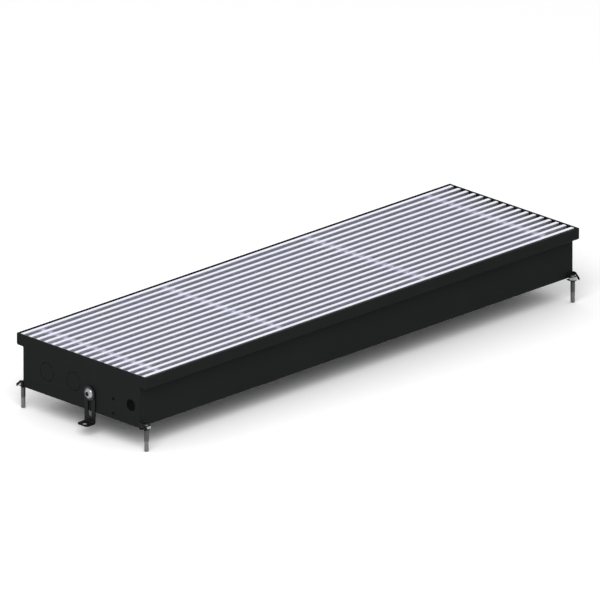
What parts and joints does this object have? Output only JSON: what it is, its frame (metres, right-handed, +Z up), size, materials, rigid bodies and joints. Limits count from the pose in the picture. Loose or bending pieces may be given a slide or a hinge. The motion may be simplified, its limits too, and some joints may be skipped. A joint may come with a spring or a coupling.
{
  "type": "trench convector heater",
  "caption": "Shallow floor trench with a stepped rim, lift-out linear bar grille, finned tube heat exchanger, levelling feet and end anchors.",
  "frame": {"origin": "on the floor under the middle of the trench, level with the bottoms of the levelling studs", "axes": "+X along the trench from the connection end to the blind end, +Y towards the window side, +Z up"},
  "size_m": [1.041, 0.3, 0.13],
  "materials": {
    "casing_black": "fine satin powder coat",
    "bracket_black": "satin powder coat",
    "grille_aluminium": "natural anodised, fine lengthwise grain",
    "rod_steel": "zinc plated",
    "sleeve_aluminium": "cut tube",
    "zinc_steel": "bright zinc plated",
    "stud_steel": "zinc plated thread",
    "washer_black": "black zinc",
    "foam_black": "closed cell foam",
    "fin_aluminium": "bare rolled sheet",
    "copper": "drawn copper tube",
    "galvanised": "galvanised sheet",
    "rubber_black": "matt",
    "nickel_brass": "nickel plated brass",
    "brass": "turned",
    "cap_white": "moulded, fine texture",
    "cap_grey": "moulded, fine texture"
  },
  "bodies": {
    "trench": {"trench_channel": "casing_black", "end_plate_connection": "casing_black", "end_plate_blind": "casing_black", "cross_brace_connection": "casing_black", "cross_brace_blind": "casing_black", "damping_strip_room": "foam_black", "damping_strip_window": "foam_black", "levelling_lugs": "bracket_black", "anchor_bolts": "zinc_steel", "anchor_washers": "washer_black", "anchor_nuts": "zinc_steel", "fin_pack": "fin_aluminium", "supply_tube": "copper", "return_tube": "copper", "return_bend": "copper", "exchanger_bracket_connection": "galvanised", "exchanger_bracket_blind": "galvanised", "tube_grommets": "rubber_black", "bracket_rivets": "zinc_steel", "air_baffle": "galvanised", "supply_valve_body": "nickel_brass", "return_valve_body": "nickel_brass", "union_nuts": "nickel_brass", "air_vent_body": "brass"},
    "grille": {"grille_bar_01": "grille_aluminium", "grille_bar_02": "grille_aluminium", "grille_bar_03": "grille_aluminium", "grille_bar_04": "grille_aluminium", "grille_bar_05": "grille_aluminium", "grille_bar_06": "grille_aluminium", "grille_bar_07": "grille_aluminium", "grille_bar_08": "grille_aluminium", "grille_bar_09": "grille_aluminium", "grille_bar_10": "grille_aluminium", "grille_bar_11": "grille_aluminium", "grille_bar_12": "grille_aluminium", "grille_bar_13": "grille_aluminium", "grille_bar_14": "grille_aluminium", "grille_bar_15": "grille_aluminium", "grille_bar_16": "grille_aluminium", "grille_bar_17": "grille_aluminium", "cross_rod_1": "rod_steel", "cross_rod_2": "rod_steel", "cross_rod_3": "rod_steel", "cross_rod_4": "rod_steel", "spacer_sleeves": "sleeve_aluminium"},
    "nut_connection_room": {"levelling_nut_connection_room": "zinc_steel"},
    "stud_connection_room": {"levelling_stud_connection_room": "stud_steel"},
    "nut_connection_window": {"levelling_nut_connection_window": "zinc_steel"},
    "stud_connection_window": {"levelling_stud_connection_window": "stud_steel"},
    "nut_blind_room": {"levelling_nut_blind_room": "zinc_steel"},
    "stud_blind_room": {"levelling_stud_blind_room": "stud_steel"},
    "nut_blind_window": {"levelling_nut_blind_window": "zinc_steel"},
    "stud_blind_window": {"levelling_stud_blind_window": "stud_steel"},
    "anchor_connection": {"anchor_bracket_connection": "bracket_black"},
    "anchor_blind": {"anchor_bracket_blind": "bracket_black"},
    "supply_cap": {"supply_valve_cap": "cap_white"},
    "return_cap": {"return_valve_cap": "cap_grey"},
    "vent_screw": {"air_vent_screw": "zinc_steel"}
  },
  "joints": [
    {"name": "grille_lift", "type": "slide", "parent": "trench", "child": "grille", "axis": [0, 0, 1], "range_m": [0, 0.1]},
    {"name": "nut_turn_connection_room", "type": "hinge", "parent": "trench", "child": "nut_connection_room", "pos_m": [-0.4925, -0.143, 0.0427], "axis": [0, 0, -1], "range_deg": [0, 5760]},
    {"name": "stud_travel_connection_room", "type": "slide", "parent": "trench", "child": "stud_connection_room", "axis": [0, 0, 1], "range_m": [0, 0.0201]},
    {"name": "nut_turn_connection_window", "type": "hinge", "parent": "trench", "child": "nut_connection_window", "pos_m": [-0.4925, 0.143, 0.0427], "axis": [0, 0, -1], "range_deg": [0, 5760]},
    {"name": "stud_travel_connection_window", "type": "slide", "parent": "trench", "child": "stud_connection_window", "axis": [0, 0, 1], "range_m": [0, 0.0201]},
    {"name": "nut_turn_blind_room", "type": "hinge", "parent": "trench", "child": "nut_blind_room", "pos_m": [0.4925, -0.143, 0.0427], "axis": [0, 0, -1], "range_deg": [0, 5760]},
    {"name": "stud_travel_blind_room", "type": "slide", "parent": "trench", "child": "stud_blind_room", "axis": [0, 0, 1], "range_m": [0, 0.0201]},
    {"name": "nut_turn_blind_window", "type": "hinge", "parent": "trench", "child": "nut_blind_window", "pos_m": [0.4925, 0.143, 0.0427], "axis": [0, 0, -1], "range_deg": [0, 5760]},
    {"name": "stud_travel_blind_window", "type": "slide", "parent": "trench", "child": "stud_blind_window", "axis": [0, 0, 1], "range_m": [0, 0.0201]},
    {"name": "anchor_slide_connection", "type": "slide", "parent": "trench", "child": "anchor_connection", "axis": [0, 0, 1], "range_m": [0, 0.035]},
    {"name": "anchor_slide_blind", "type": "slide", "parent": "trench", "child": "anchor_blind", "axis": [0, 0, 1], "range_m": [0, 0.035]},
    {"name": "supply_valve_turn", "type": "hinge", "parent": "trench", "child": "supply_cap", "pos_m": [-0.456, 0.08, 0.1], "axis": [0, 0, 1], "range_deg": [0, 720]},
    {"name": "return_valve_turn", "type": "hinge", "parent": "trench", "child": "return_cap", "pos_m": [-0.456, 0.018, 0.1], "axis": [0, 0, 1], "range_deg": [0, 720]},
    {"name": "vent_screw_turn", "type": "hinge", "parent": "trench", "child": "vent_screw", "pos_m": [0.478, 0.049, 0.098], "axis": [0, 0, 1], "range_deg": [0, 720]}
  ],
  "couplings": [
    {"joint": "stud_travel_connection_room", "follows": "nut_turn_connection_room", "m_per_rad": 0.00019894},
    {"joint": "stud_travel_connection_window", "follows": "nut_turn_connection_window", "m_per_rad": 0.00019894},
    {"joint": "stud_travel_blind_room", "follows": "nut_turn_blind_room", "m_per_rad": 0.00019894},
    {"joint": "stud_travel_blind_window", "follows": "nut_turn_blind_window", "m_per_rad": 0.00019894}
  ]
}
